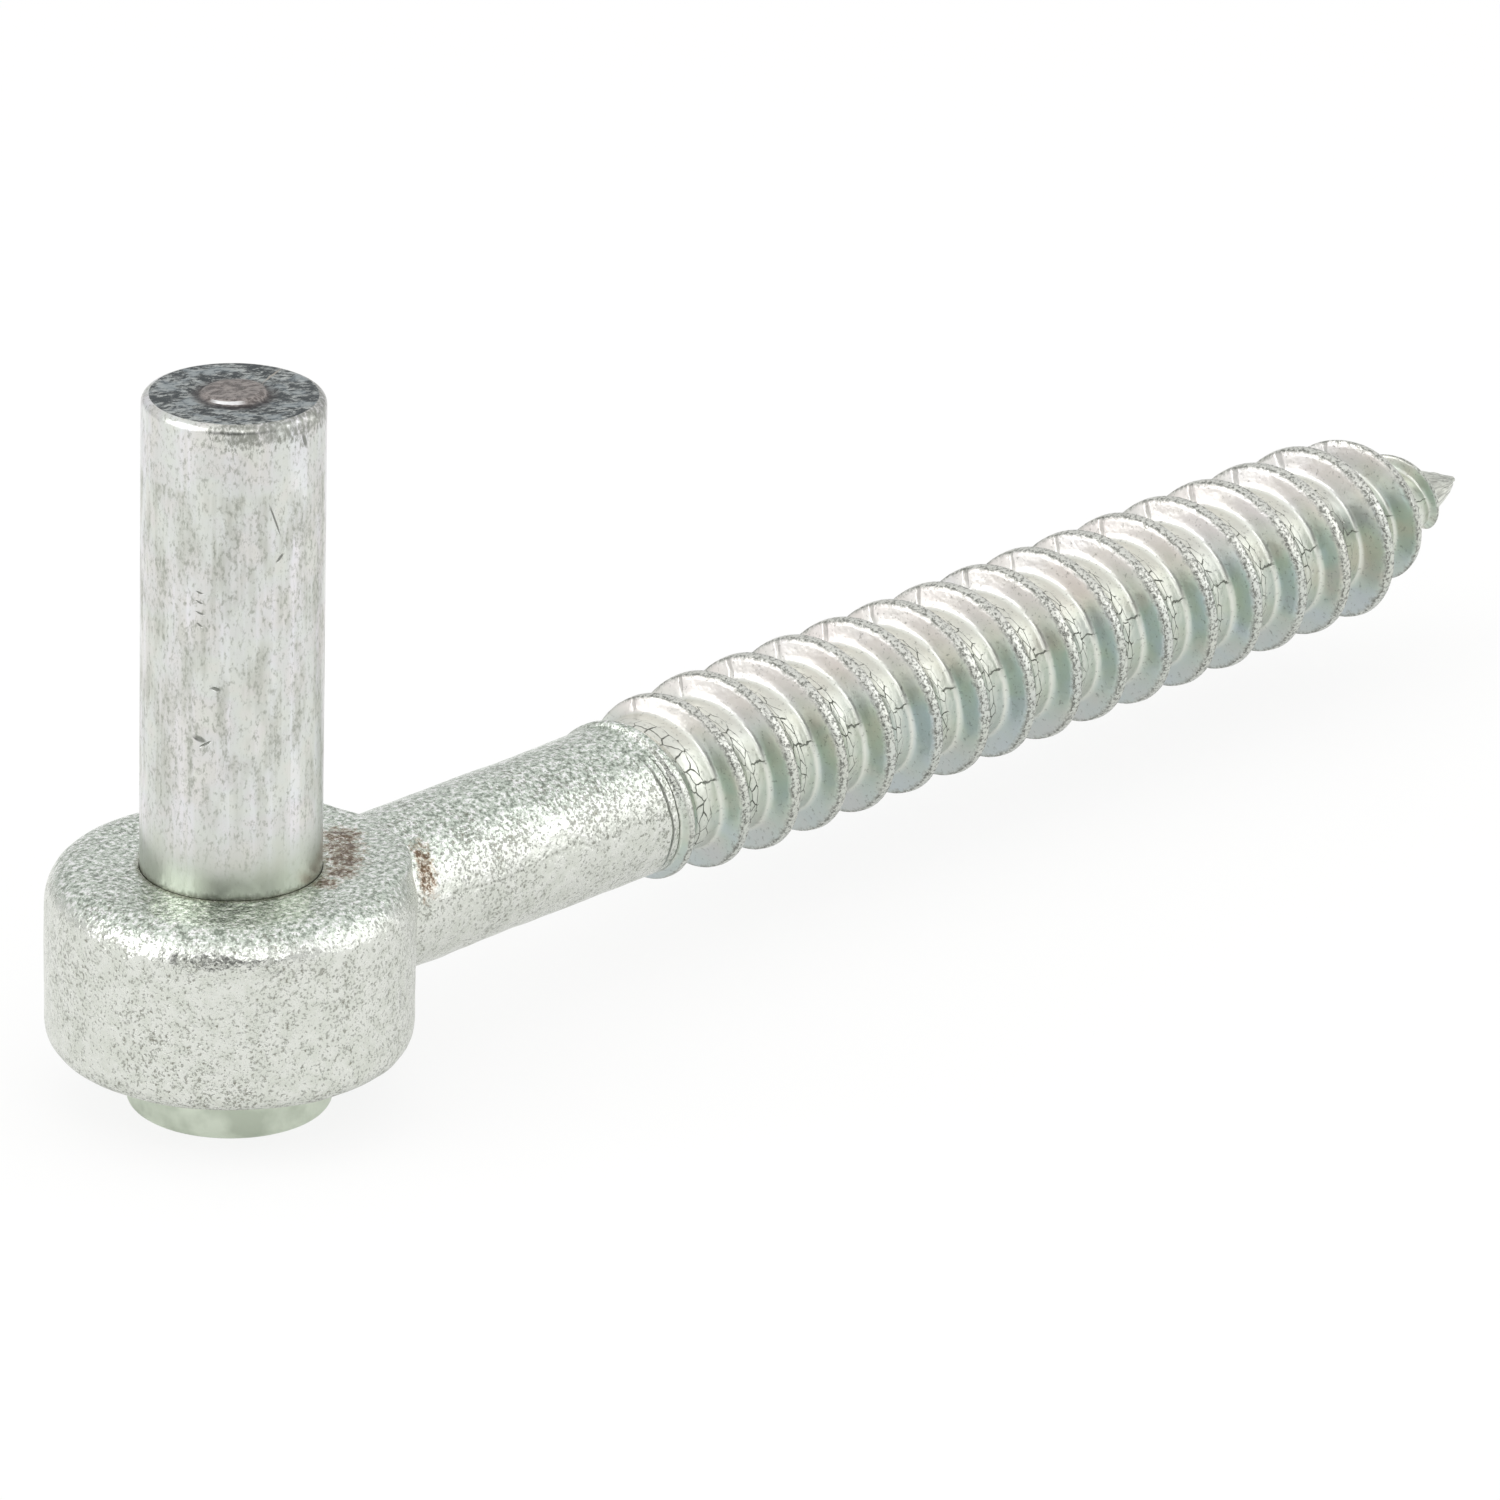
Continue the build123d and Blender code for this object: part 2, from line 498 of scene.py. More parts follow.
        # The crest: a torn band, darkest along its two edges.
        side = f.summed((ragged, 0.35), base=f.add("Math", {0: across}, operation="ABSOLUTE"))
        on_crest = f.add("MapRange", {"Value": side, "From Min": 0.84, "From Max": 0.66})
        colour = f.layered(colour, self.crest, on_crest, 0.8)
        torn = f.add(
            "TexNoise", {"Vector": f.mm, "Scale": 1 / self.tear, "Detail": 3.0, "Roughness": 0.7}
        )
        rim = f.add("MapRange", {"Value": side, "From Min": 0.4, "From Max": 0.66, "To Max": 0.09})
        torn = f.add("Math", {0: torn, 1: rim}, operation="ADD")
        torn = f.add("MapRange", {"Value": torn, "From Min": 0.5, "From Max": 0.64})
        torn = f.overlap(torn, on_crest)
        colour = f.layered(colour, self.crest_grain, torn, 0.8)
        # The nose's skin is mottled with dirt.
        beyond = f.add("SeparateXYZ", {0: f.mm}, "X")
        start, end = self.nose_from
        on_nose = f.add("MapRange", {"Value": beyond, "From Min": start, "From Max": end})
        mottled = f.add("MapRange", {"Value": ragged, "From Min": 0.42, "From Max": 0.62})
        colour = f.layered(colour, self.nose_dirt, f.overlap(mottled, on_nose), 0.8)
        bare = f.add("Math", {0: 1.0, 1: on_nose}, operation="SUBTRACT")
        cracks = f.overlap(cracks, bare)
        colour = f.layered(colour, self.crack, cracks, 0.9)
        colour = f.layered(colour, self.crack, seams, 0.8)
        marks = f.add("Math", {0: cracks, 1: seams}, operation="MAXIMUM")
        return colour, f.add("Math", {0: marks, 1: f.overlap(torn, 0.5)}, operation="MAXIMUM")

    def traced(self, f: Finish) -> Socket:
        """Where three fine lines run beside the first crest, traces of the dies' first bite.

        Args:
            f: The finish.

        Returns:
            1 on a line and 0 off it.
        """
        helix = f.add("UVMap", uv_map="helix")
        along = f.add("SeparateXYZ", {0: helix}, "X")
        across = f.add("SeparateXYZ", {0: helix}, "Y")
        waver = f.add("TexNoise", {"Vector": f.mm, "Scale": 1 / self.trace_bend, "Detail": 2.0})
        place = f.summed((waver, 0.5), base=across)
        row = f.add("Math", {0: place, 1: 0.34}, operation="PINGPONG")
        line = f.add("MapRange", {"Value": row, "From Min": 0.13, "From Max": 0.05})
        for value, start, end in (
            (place, -2.25, -2.05),
            (place, -1.1, -1.2),
            (along, self.trace[0], self.trace[0] + 3.0),
            (along, self.trace[1], self.trace[1] - 4.0),
        ):
            inside = f.add("MapRange", {"Value": value, "From Min": start, "From Max": end})
            line = f.overlap(line, inside)
        return line

    def cracked(self, f: Finish, laid: Socket, frayed: Socket) -> Socket:
        """Where the root's skin is split into cells.

        Args:
            f: The finish.
            laid: The place along and across the thread.
            frayed: The place across it, with ragged edges.

        Returns:
            1 in a crack and 0 beside it.
        """
        shaken = f.add(
            "TexNoise", {"Vector": laid, "Scale": 1 / self.crack_bend, "Detail": 3.0}, "Color"
        )
        long, wide = self.crack_cell
        cells = f.add("VectorMath", {0: laid, 1: (1 / long, 1 / wide, 0)}, operation="MULTIPLY")
        cells = f.add(
            "VectorMath", {0: shaken, 1: (0.35, 0.35, 0), 2: cells}, operation="MULTIPLY_ADD"
        )
        edge = f.add(
            "TexVoronoi",
            {"Vector": cells, "Scale": 1.0, "Randomness": 0.85},
            voronoi_dimensions="2D",
            feature="DISTANCE_TO_EDGE",
        )
        gaping = f.add(
            "TexNoise",
            {"Vector": laid, "Scale": 1 / self.crack_gape, "Detail": 3.0, "Roughness": 0.65},
        )
        width = f.add(
            "MapRange",
            {"Value": gaping, "From Min": 0.3, "From Max": 0.66, "To Min": 0.0, "To Max": 0.06},
        )
        crack = f.add("Math", {0: width, 1: edge}, operation="SUBTRACT")
        crack = f.add("MapRange", {"Value": crack, "From Min": -0.015, "From Max": 0.015})
        start = f.add("MapRange", {"Value": frayed, "From Min": 2.2, "From Max": 2.4})
        end = f.add("MapRange", {"Value": frayed, "From Min": 4.35, "From Max": 4.05})
        return f.overlap(crack, start, end)

    def seamed(self, f: Finish, along: Socket, strip: Socket, ragged: Socket) -> Socket:
        """Where the rolling dies' seams cross the thread, once a turn each.

        Args:
            f: The finish.
            along: The place along the thread.
            strip: The place across it.
            ragged: A noise that makes the seams waver.

        Returns:
            1 on a seam and 0 off it.
        """
        found = None
        # A seam's place on its turn, the strip that it crosses, its strength and half its width.
        for seam, start, end, strength, half in (
            (self.root_seam, 3.4, 5.2, 1.0, 0.12),
            (self.flank_seam, 5.2, 6.1, 0.5, 0.28),
        ):
            turn = f.summed((along, 1 / self.root_circle), base=0.5 - seam)
            turn = f.add("Math", {0: turn}, operation="FRACT")
            off = f.add("Math", {0: turn, 1: 0.5}, operation="SUBTRACT")
            off = f.summed((off, self.root_circle), (ragged, 1.1))
            off = f.add("Math", {0: off, 1: 0.55}, operation="SUBTRACT")
            off = f.add("Math", {0: off}, operation="ABSOLUTE")
            near = f.add("MapRange", {"Value": off, "From Min": half, "From Max": half * 0.4})
            begun = f.add("MapRange", {"Value": strip, "From Min": start, "From Max": start + 0.3})
            ended = f.add("MapRange", {"Value": strip, "From Min": end, "From Max": end - 0.3})
            near = f.overlap(near, begun, ended, strength)
            if found is not None:
                near = f.add("Math", {0: found, 1: near}, operation="MAXIMUM")
            found = near
        return found


@dataclass(frozen=True)
class Nick:
    """A small mark on the bar: where it is round it and up it, its size and its lean."""

    around: float
    up: float
    length: float
    width: float
    lean: float


@dataclass(frozen=True)
class DrawnZinc:
    """Bright zinc plate over a drawn bar, streaked along the draw and finely scuffed."""

    name: str = "zinc_plated_drawn_bar"
    plate: str = "#d9dad6"
    plate_bright: str = "#e9e9ec"
    plate_dull: str = "#bfc1b8"
    speck: str = "#94978d"
    smudge: str = "#84867f"
    foot_tint_and_painted_reflection: str = "#bdc2b5"
    foot_dirt: str = "#6f7265"
    nick: str = "#7f817b"
    nicks: tuple[Nick, ...] = (
        Nick(7.3, 41.8, 1.6, 0.45, -0.35),
        Nick(-2.4, 15.0, 1.3, 0.5, -1.2),
        Nick(-1.9, 14.6, 1.2, 0.2, 1.0),
        Nick(4.6, 31.6, 1.0, 0.25, 0.7),
        Nick(4.1, 35.2, 3.2, 0.16, -0.35),
        Nick(-2.5, 28.6, 0.7, 0.16, -1.3),
        Nick(-2.5, 27.7, 0.7, 0.16, -1.2),
        Nick(-2.45, 26.7, 0.8, 0.16, -1.3),
        Nick(-2.5, 25.6, 0.6, 0.2, -1.0),
        Nick(-1.0, 19.8, 0.9, 0.35, -1.3),
    )
    # Sizes in mm, across the draw, of the bands, the streaks, the specks, the dull patches
    # and the plate's clouds.
    band: float = 2.4
    streak: float = 0.45
    tick: float = 0.36
    patch: float = 1.5
    cloud: float = 4.5
    # Heights in mm of the streaks, the specks and the patches, and the depth of a nick.
    relief: tuple[float, float, float] = (0.012, 0.009, 0.025)
    nick_depth: float = 0.08
    # The roughness of the clean plate and of a dull patch.
    roughness: tuple[float, float] = (0.3, 0.42)
    bar_radius: float = 8.0
    bar_height: float = 44.0
    # Where the scuffed stretch of the bar begins under its end.
    scuffed_below: float = 37.6
    # The angle round the bar that counts as its front.
    front: float = math.radians(46.72)

    def material(self) -> bpy.types.Material:
        """Build the material."""
        f = Finish(self.name)
        drawn = f.add("VectorMath", {0: f.mm, 1: (1, 1, 0.015)}, operation="MULTIPLY")
        band = f.add("TexNoise", {"Vector": drawn, "Scale": 1 / self.band, "Detail": 1.0})
        streak = f.add("TexNoise", {"Vector": drawn, "Scale": 1 / self.streak, "Detail": 2.0})
        ticked = f.add("VectorMath", {0: f.mm, 1: (1, 1, 0.55)}, operation="MULTIPLY")
        tick = f.add(
            "TexNoise",
            {"Vector": ticked, "Scale": 1 / self.tick, "Detail": 4.0, "Roughness": 0.72},
        )
        patched = f.add("VectorMath", {0: f.mm, 1: (1, 1, 0.3)}, operation="MULTIPLY")
        patch = f.add("TexNoise", {"Vector": patched, "Scale": 1 / self.patch, "Detail": 3.0})
        cloud = f.add("TexNoise", {"Vector": f.mm, "Scale": 1 / self.cloud, "Detail": 3.0})
        level = f.add("SeparateXYZ", {0: f.mm}, "Z")
        bright = f.summed((streak, 0.5), base=band)
        colour = f.layered(self.plate, self.plate_bright, bright, 0.7, (0.74, 0.9))
        hue = f.add("MapRange", {"Value": cloud, "From Min": 0.3, "From Max": 0.7, "To Max": 1.2})
        hue = f.add("Math", {0: hue}, operation="FRACT")
        tint = f.add("CombineColor", {0: hue, 1: 0.04, 2: 1.0}, mode="HSV")
        colour = f.add(
            "Mix", {0: 0.5, 6: colour, 7: tint}, 2, data_type="RGBA", blend_type="MULTIPLY"
        )
        # Dull patches follow the draw, below the stretch that the eye of a strap kept clean.
        under = f.add(
            "MapRange",
            {
                "Value": level,
                "From Min": self.scuffed_below + 0.2,
                "From Max": self.scuffed_below - 0.2,
                "To Min": 0.25,
            },
        )
        above = f.add("MapRange", {"Value": level, "From Min": 5.0, "From Max": 10.0})
        dull = f.summed((streak, 0.45), base=patch)
        dull = f.add("MapRange", {"Value": dull, "From Min": 0.66, "From Max": 0.88})
        dull = f.overlap(dull, f.overlap(under, above))
        colour = f.layered(colour, self.plate_dull, dull, 0.7)
        # Fine specks gather in the dull patches, and a smudge hangs under the rim.
        crowd = f.summed((dull, 0.05), (cloud, 0.15), base=tick)
        colour = f.layered(colour, self.speck, crowd, 0.7, (0.6, 0.75))
        rim = f.add(
            "MapRange",
            {
                "Value": level,
                "From Min": self.bar_height - 3.4,
                "From Max": self.bar_height - 1.2,
                "To Max": 0.34,
            },
        )
        around = self.around(f)
        side = f.add("MapRange", {"Value": around, "From Min": -4.5, "From Max": 0.5})
        smudge = f.add("Math", {0: tick, 1: f.overlap(rim, side)}, operation="ADD")
        colour = f.layered(colour, self.smudge, smudge, 0.75, (0.68, 0.86))
        # The foot of the bar: a greener plate, darkened as a painted reflection of the seat, and
        # dirt in the joint.
        wavy = f.summed((cloud, 5.0), base=level)
        colour = f.layered(colour, self.foot_tint_and_painted_reflection, wavy, 0.85, (9.5, 3.8))
        dirt = f.summed((tick, 1.8), base=level)
        colour = f.layered(colour, self.foot_dirt, dirt, 0.8, (1.55, 0.8))
        nicks = self.nicked(f, around, level)
        colour = f.layered(colour, self.nick, nicks, 0.9)
        reliefs = (*self.relief, -self.nick_depth)
        height = f.summed(*zip((streak, tick, patch, nicks), reliefs))
        clean, worn = self.roughness
        roughness = f.add("MapRange", {"Value": dull, "To Min": clean, "To Max": worn})
        return f.close(colour, roughness, height)

    def around(self, f: Finish) -> Socket:
        """How far round the bar a point is from its front, in millimetres."""
        turned = f.add(
            "VectorRotate", {"Vector": f.mm, "Angle": self.front}, rotation_type="Z_AXIS"
        )
        x = f.add("SeparateXYZ", {0: turned}, "X")
        y = f.add("SeparateXYZ", {0: turned}, "Y")
        toward = f.add("Math", {0: y, 1: -1.0}, operation="MULTIPLY")
        angle = f.add("Math", {0: x, 1: toward}, operation="ARCTAN2")
        return f.overlap(angle, self.bar_radius)

    def nicked(self, f: Finish, around: Socket, level: Socket) -> Socket:
        """Where the nicks are.

        Args:
            f: The finish.
            around: The place round the bar.
            level: The height up it.

        Returns:
            1 in a nick and 0 outside them.
        """
        spread = f.add("CombineXYZ", {0: around, 1: level, 2: 0.0})
        found = None
        for nick in self.nicks:
            local = f.add(
                "Mapping",
                {
                    "Vector": spread,
                    "Location": (nick.around, nick.up, 0),
                    "Rotation": (0, 0, -nick.lean),
                    "Scale": (nick.width / 2, nick.length / 2, 1),
                },
                vector_type="TEXTURE",
            )
            off = f.add("VectorMath", {0: local}, "Value", operation="LENGTH")
            one = f.add("MapRange", {"Value": off, "From Min": 1.2, "From Max": 0.6})
            if found is not None:
                one = f.add("Math", {0: found, 1: one}, operation="MAXIMUM")
            found = one
        return found


@dataclass(frozen=True)
class ShearedEnd:
    """The bar's parted end under thin plate: dark torn grain round a smoother pip."""

    name: str = "zinc_plated_sheared_end"
    torn: str = "#4f5456"
    torn_light: str = "#bfc3c1"
    blue_grey: str = "#7e8a92"
    pip: str = "#b0a8a4"
    pip_shade: str = "#6f6966"
    ring: str = "#4b4646"
    painted_highlight_edge: str = "#f4f4f4"
    scratch: str = "#bfb9b0"
    pip_centre: tuple[float, float, float] = (0.0, 0.0, 44.3)
    pip_radius: float = 2.9
    # The middle of the painted highlight on the pip's edge.
    worn: tuple[float, float, float] = (-2.3, -1.5, 44.2)
    scratch_middle: tuple[float, float, float] = (5.4, 0.9, 44.0)
    scratch_turn: float = 0.36
    # Half the scratch's length, width and reach into the metal.
    scratch_half: tuple[float, float, float] = (1.9, 0.12, 4.0)
    # The way the shear dragged the grain, and the sizes in mm of the grain and its patches.
    drag: float = 0.5
    tear: float = 0.42
    patch: float = 2.2
    # The height of the torn grain and the depth of the scratch, in mm.
    tear_height: float = 0.13
    scratch_depth: float = 0.05
    # The roughness of the torn metal and of the pip.
    roughness: tuple[float, float] = (0.5, 0.3)

    def material(self) -> bpy.types.Material:
        """Build the material."""
        f = Finish(self.name)
        dragged = f.add(
            "VectorRotate", {"Vector": f.mm, "Angle": self.drag}, rotation_type="Z_AXIS"
        )
        dragged = f.add("VectorMath", {0: dragged, 1: (0.5, 1, 1)}, operation="MULTIPLY")
        torn = f.add(
            "TexNoise",
            {"Vector": dragged, "Scale": 1 / self.tear, "Detail": 5.0, "Roughness": 0.8},
        )
        patch = f.add("TexNoise", {"Vector": f.mm, "Scale": 1 / self.patch, "Detail": 2.0})
        both = f.summed((patch, 0.4), base=torn)
        colour = f.layered(self.torn, self.torn_light, both, 1.0, (0.66, 0.78))
        colour = f.layered(colour, self.blue_grey, patch, 0.45, (0.5, 0.62))
        away = f.add("VectorMath", {0: f.mm, 1: self.pip_centre}, "Value", operation="DISTANCE")
        edge = self.pip_radius
        on_pip = f.add("MapRange", {"Value": away, "From Min": edge + 0.2, "From Max": edge - 0.1})
        # A dark brownish ring round the pip is a painted shadow in its groove.
        colour = f.layered(colour, self.ring, away, 0.8, (edge + 1.2, edge + 0.3))
        pip = f.layered(self.pip_shade, self.pip, torn, 1.0, (0.44, 0.56))
        colour = f.layered(colour, pip, on_pip, 0.9)
        # The pip's edge gets a painted highlight on one side.
        on_edge = f.add("Math", {0: away, 1: edge - 0.1, 2: 0.11}, operation="COMPARE")
        beside = f.add("VectorMath", {0: f.mm, 1: self.worn}, "Value", operation="DISTANCE")
        worn = f.add("MapRange", {"Value": beside, "From Min": 1.7, "From Max": 0.9})
        colour = f.layered(colour, self.painted_highlight_edge, f.overlap(worn, on_edge), 0.9)
        # One long scratch runs from the pip to the rim.
        local = f.add(
            "Mapping",
            {
                "Vector": f.mm,
                "Location": self.scratch_middle,
                "Rotation": (0, 0, self.scratch_turn),
                "Scale": self.scratch_half,
            },
            vector_type="TEXTURE",
        )
        off = f.add("VectorMath", {0: local}, "Value", operation="LENGTH")
        scratch = f.add("MapRange", {"Value": off, "From Min": 1.2, "From Max": 0.7})
        colour = f.layered(colour, self.scratch, scratch, 0.7)
        height = f.summed((torn, self.tear_height), (scratch, -self.scratch_depth))
        rough, smooth = self.roughness
        roughness = f.add("MapRange", {"Value": on_pip, "To Min": rough, "To Max": smooth})
        return f.close(colour, roughness, height)


@dataclass(frozen=True)
class UpsetHeadZinc:
    """Smooth zinc plate on the upset head, a little green, dirty where it meets the eye."""

    name: str = "zinc_plated_upset_head"
    plate: str = "#dde5d6"
    shade: str = "#c0c9b9"
    dirt: str = "#6f6c5e"
    # The height of the head's upper face.
    top: float = -17.0
    # Sizes in mm of the plate's clouds and its grain, the grain's height and the roughness.
    cloud: float = 3.0
    grain: float = 0.4
    grain_height: float = 0.03
    roughness: float = 0.38

    def material(self) -> bpy.types.Material:
        """Build the material."""
        f = Finish(self.name)
        cloud = f.add("TexNoise", {"Vector": f.mm, "Scale": 1 / self.cloud, "Detail": 3.0})
        grain = f.add("TexNoise", {"Vector": f.mm, "Scale": 1 / self.grain, "Detail": 3.0})
        colour = f.layered(self.plate, self.shade, cloud, 1.0, (0.4, 0.65))
        level = f.add("SeparateXYZ", {0: f.mm}, "Z")
        low = f.summed((grain, 2.4), base=level)
        colour = f.layered(colour, self.dirt, low, 0.8, (self.top + 0.1, self.top + 0.8))
        return f.close(colour, self.roughness, f.summed((grain, self.grain_height)))


def remove_after(bm: bmesh.types.BMesh, name: str) -> bpy.types.Mesh:
    """Store a bmesh as a mesh in metres, its sharp corners crisp, and free it.

    Args:
        bm: The shape, in millimetres.
        name: The mesh's name.

    Returns:
        The mesh.
    """
    bmesh.ops.scale(bm, vec=(MM,) * 3, verts=bm.verts)
    for edge in bm.edges:
        edge.smooth = edge.calc_face_angle(0.0) < CRISP
    mesh = bpy.data.meshes.new(name)
    bm.to_mesh(mesh)
    bm.free()
    return mesh


def link_piece(mesh: bpy.types.Mesh, name: str) -> bpy.types.Object:
    """Put a mesh in the scene, smooth shaded.

    Args:
        mesh: The piece's mesh.
        name: The piece's name.

    Returns:
        The object.
    """
    piece = bpy.data.objects.new(name, mesh)
    bpy.context.scene.collection.objects.link(piece)
    mesh.polygons.foreach_set("use_smooth", [True] * len(mesh.polygons))
    return piece


def applied(piece: bpy.types.Object) -> bpy.types.Mesh:
    """Apply a piece's modifiers and take the piece out of the scene.

    Args:
        piece: A scratch object.

    Returns:
        The mesh with the modifiers' result.
    """
    graph = bpy.context.evaluated_depsgraph_get()
    mesh = bpy.data.meshes.new_from_object(piece.evaluated_get(graph))
    bpy.data.objects.remove(piece)
    return mesh


def in_millimetres(mesh: bpy.types.Mesh) -> bmesh.types.BMesh:
    """Open a mesh in metres as a bmesh in millimetres."""
    bm = bmesh.new()
    bm.from_mesh(mesh)
    bmesh.ops.scale(bm, vec=(1 / MM,) * 3, verts=bm.verts)
    return bm


@dataclass
class ForgedBlank:
    """The forged eye, the metal gathered towards the shank, and the plain shank."""

    eye_radius: float = 16.3
    eye_height: float = 17.0
    top_round: float = 3.2
    bottom_round: float = 2.4
    gather_radius: float = 13.5
    gather_centre: float = 3.5
    gather_round: float = 1.0
    gather_foot_round: float = 0.6
    gather_draft: float = 1.3
    shank_radius: float = 7.2
    shank_drop: float = 8.2
    shank_cut: float = 46.0
    bore_radius: float = 8.06
    # The size of the cells that melt the parts into one skin, how often its corner and then
    # all of it are smoothed, and the facets round a disc and round the bore.
    voxel: float = 0.36
    corner_passes: int = 14
    skin_passes: int = 2
    facets: int = 144
    bore_facets: int = 128
    # How far from the corner's line the smoothing begins to fade and ends.
    corner_fade: tuple[float, float] = (0.9, 2.4)
    # The rusted corner: where it begins and ends off the gathered metal's face, and where it
    # begins along the shank, to its side and in height.
    stain_begins: tuple[float, float] = (0.8, 1.8)
    stain_ends: tuple[float, float] = (2.6, 4.2)
    stain_along: tuple[float, float] = (14.5, 16.0)
    stain_aside: tuple[float, float] = (2.5, 5.0)
    stain_rises: tuple[float, float] = (-8.0, -4.8)
    stain_top: float = -1.2

    def rounded_disc(
        self, bm: bmesh.types.BMesh, radii: tuple[float, float], floor: float, centre: float
    ) -> list[bmesh.types.BMEdge]:
        """Add an upright disc whose top is the seat.

        Args:
            bm: The shape that gets the disc.
            radii: Its lower and upper radius.
            floor: The height of its lower face.
            centre: Where its axis stands along the shank.

        Returns:
            Its rim edges.
        """
        made = bmesh.ops.create_cone(
            bm,
            cap_ends=True,
            segments=self.facets,
            radius1=radii[0],
            radius2=radii[1],
            depth=-floor,
            matrix=Matrix.Translation((centre, 0, floor / 2)),
        )
        own = set(made["verts"])
        return [
            e
            for e in bm.edges
            if set(e.verts) <= own and abs(e.verts[0].co.z - e.verts[1].co.z) < LEVEL
        ]

    def sharp_shape(self) -> bmesh.types.BMesh:
        """Set the eye, the gathered metal and the shank into each other."""
        bm = bmesh.new()
        for lower, upper, floor, centre, rounds in (
            (
                self.eye_radius,
                self.eye_radius,
                -self.eye_height,
                0.0,
                (self.bottom_round, self.top_round),
            ),
            (
                self.gather_radius - self.gather_draft,
                self.gather_radius,
                self.bottom_round - self.eye_height,
                self.gather_centre,
                (self.gather_foot_round, self.gather_round),
            ),
        ):
            rims = self.rounded_disc(bm, (lower, upper), floor, centre)
            for level, size in zip((floor, 0.0), rounds):
                bmesh.ops.bevel(
                    bm,
                    geom=[e for e in rims if e.is_valid and abs(e.verts[0].co.z - level) < LEVEL],
                    offset=size,
                    segments=10,
                    profile=0.5,
                    affect="EDGES",
                    material=-1,
                )
        # The shank is made a little too long, as its end is cut off once the parts are one.
        length = self.shank_cut + 2.0
        bmesh.ops.create_cone(
            bm,
            cap_ends=True,
            segments=self.facets,
            radius1=self.shank_radius,
            radius2=self.shank_radius,
            depth=length,
            matrix=Matrix.Translation((length / 2, 0, -self.shank_drop))
            @ Matrix.Rotation(math.pi / 2, 4, "Y"),
        )
        return bm

    def corner_share(self, place: Vector) -> float:
        """How near a point is to the corner between the eye and the shank, from 0 to 1."""
        off_axis = math.hypot(place.y, place.z + self.shank_drop)
        near_shank = 1 - smooth_step(abs(off_axis - self.shank_radius), *self.corner_fade)
        face = max(
            math.hypot(place.x, place.y) - self.eye_radius,
            math.hypot(place.x - self.gather_centre, place.y) - self.gather_radius,
        )
        return near_shank * (1 - smooth_step(abs(face), *self.corner_fade))

    def corner_stain(self, place: Vector) -> float:
        """How wet the corner beside the shank was, where it rusted on one side, from 0 to 1."""
        if place.z >= self.stain_top:
            return 0.0
        face = math.hypot(place.x - self.gather_centre, place.y) - self.gather_radius
        beside = (1 - smooth_step(face, *self.stain_ends)) * smooth_step(face, *self.stain_begins)
        beside *= smooth_step(place.x, *self.stain_along)
        aside = smooth_step(-place.y, *self.stain_aside)
        return beside * aside * smooth_step(place.z, *self.stain_rises)

    def build(self) -> bmesh.types.BMesh:
        """Melt the parts of the forging into one skin with a soft corner, and bore it.

        Returns:
            The forging in millimetres, open where the thread goes on.
        """
        scratch = link_piece(remove_after(self.sharp_shape(), "forging"), "forging")
        remesh = scratch.modifiers.new("melt", "REMESH")
        remesh.mode = "VOXEL"
        remesh.voxel_size = self.voxel * MM
        bm = in_millimetres(applied(scratch))
        corner = [v for v in bm.verts if self.corner_share(v.co) > 0.5]
        for verts, passes in ((corner, self.corner_passes), (bm.verts, self.skin_passes)):
            for _ in range(passes):
                bmesh.ops.smooth_vert(
                    bm, verts=verts, factor=0.5, use_axis_x=True, use_axis_y=True, use_axis_z=True
                )
        scratch = link_piece(remove_after(bm, "forging"), "forging")
        drill = self.drill()
        cut = scratch.modifiers.new("bore", "BOOLEAN")
        cut.operation = "DIFFERENCE"
        cut.solver = "EXACT"
        cut.object = drill
        bm = in_millimetres(applied(scratch))
        bpy.data.objects.remove(drill)
        bmesh.ops.bisect_plane(
            bm,
            geom=bm.verts[:] + bm.edges[:] + bm.faces[:],
            plane_co=(self.shank_cut, 0, 0),
            plane_no=(1, 0, 0),
            clear_outer=True,
        )
        return bm

    def drill(self) -> bpy.types.Object:
        """Make the drill that cuts the bore."""
        bm = bmesh.new()
        bmesh.ops.create_cone(
            bm,
            cap_ends=True,
            segments=self.bore_facets,
            radius1=self.bore_radius,
            radius2=self.bore_radius,
            depth=self.eye_height + 4,
            matrix=Matrix.Translation((0, 0, -self.eye_height / 2)),
        )
        return link_piece(remove_after(bm, "drill"), "drill")


